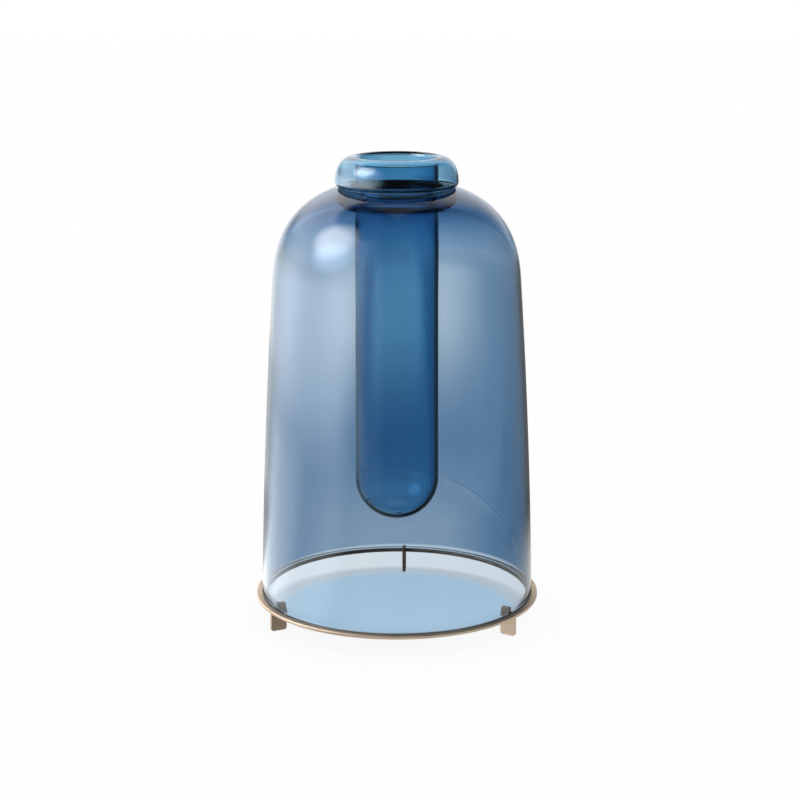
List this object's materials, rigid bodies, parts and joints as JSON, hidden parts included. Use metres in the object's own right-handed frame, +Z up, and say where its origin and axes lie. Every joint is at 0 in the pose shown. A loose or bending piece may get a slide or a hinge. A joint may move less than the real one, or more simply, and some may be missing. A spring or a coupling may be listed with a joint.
{
  "type": "blown glass vase",
  "caption": "Blue blown glass bell on a flat metal ring with sheet feet, with a round-ended glass flower tube hanging inside from a rolled collar at the top.",
  "frame": {"origin": "on the vertical axis of the bell and ring, at the height that the feet stand on", "axes": "+Z up along the axis of the bell and the flower tube, -Y towards the front, the back foot on +Y"},
  "size_m": [0.176, 0.176, 0.2868],
  "materials": {
    "blue_glass": "clear polished blown glass tinted blue",
    "satin_metal": "fine satin, slightly warm"
  },
  "bodies": {
    "stand": {"base_ring": "satin_metal", "foot_back": "satin_metal", "foot_left": "satin_metal", "foot_right": "satin_metal"},
    "bell": {"glass_bell": "blue_glass"},
    "tube": {"flower_tube": "blue_glass"}
  },
  "joints": [
    {"name": "bell_lift", "type": "slide", "parent": "stand", "child": "bell", "axis": [0, 0, 1], "range_m": [0, 0.06]},
    {"name": "tube_lift", "type": "slide", "parent": "bell", "child": "tube", "axis": [0, 0, 1], "range_m": [0, 0.21]}
  ]
}
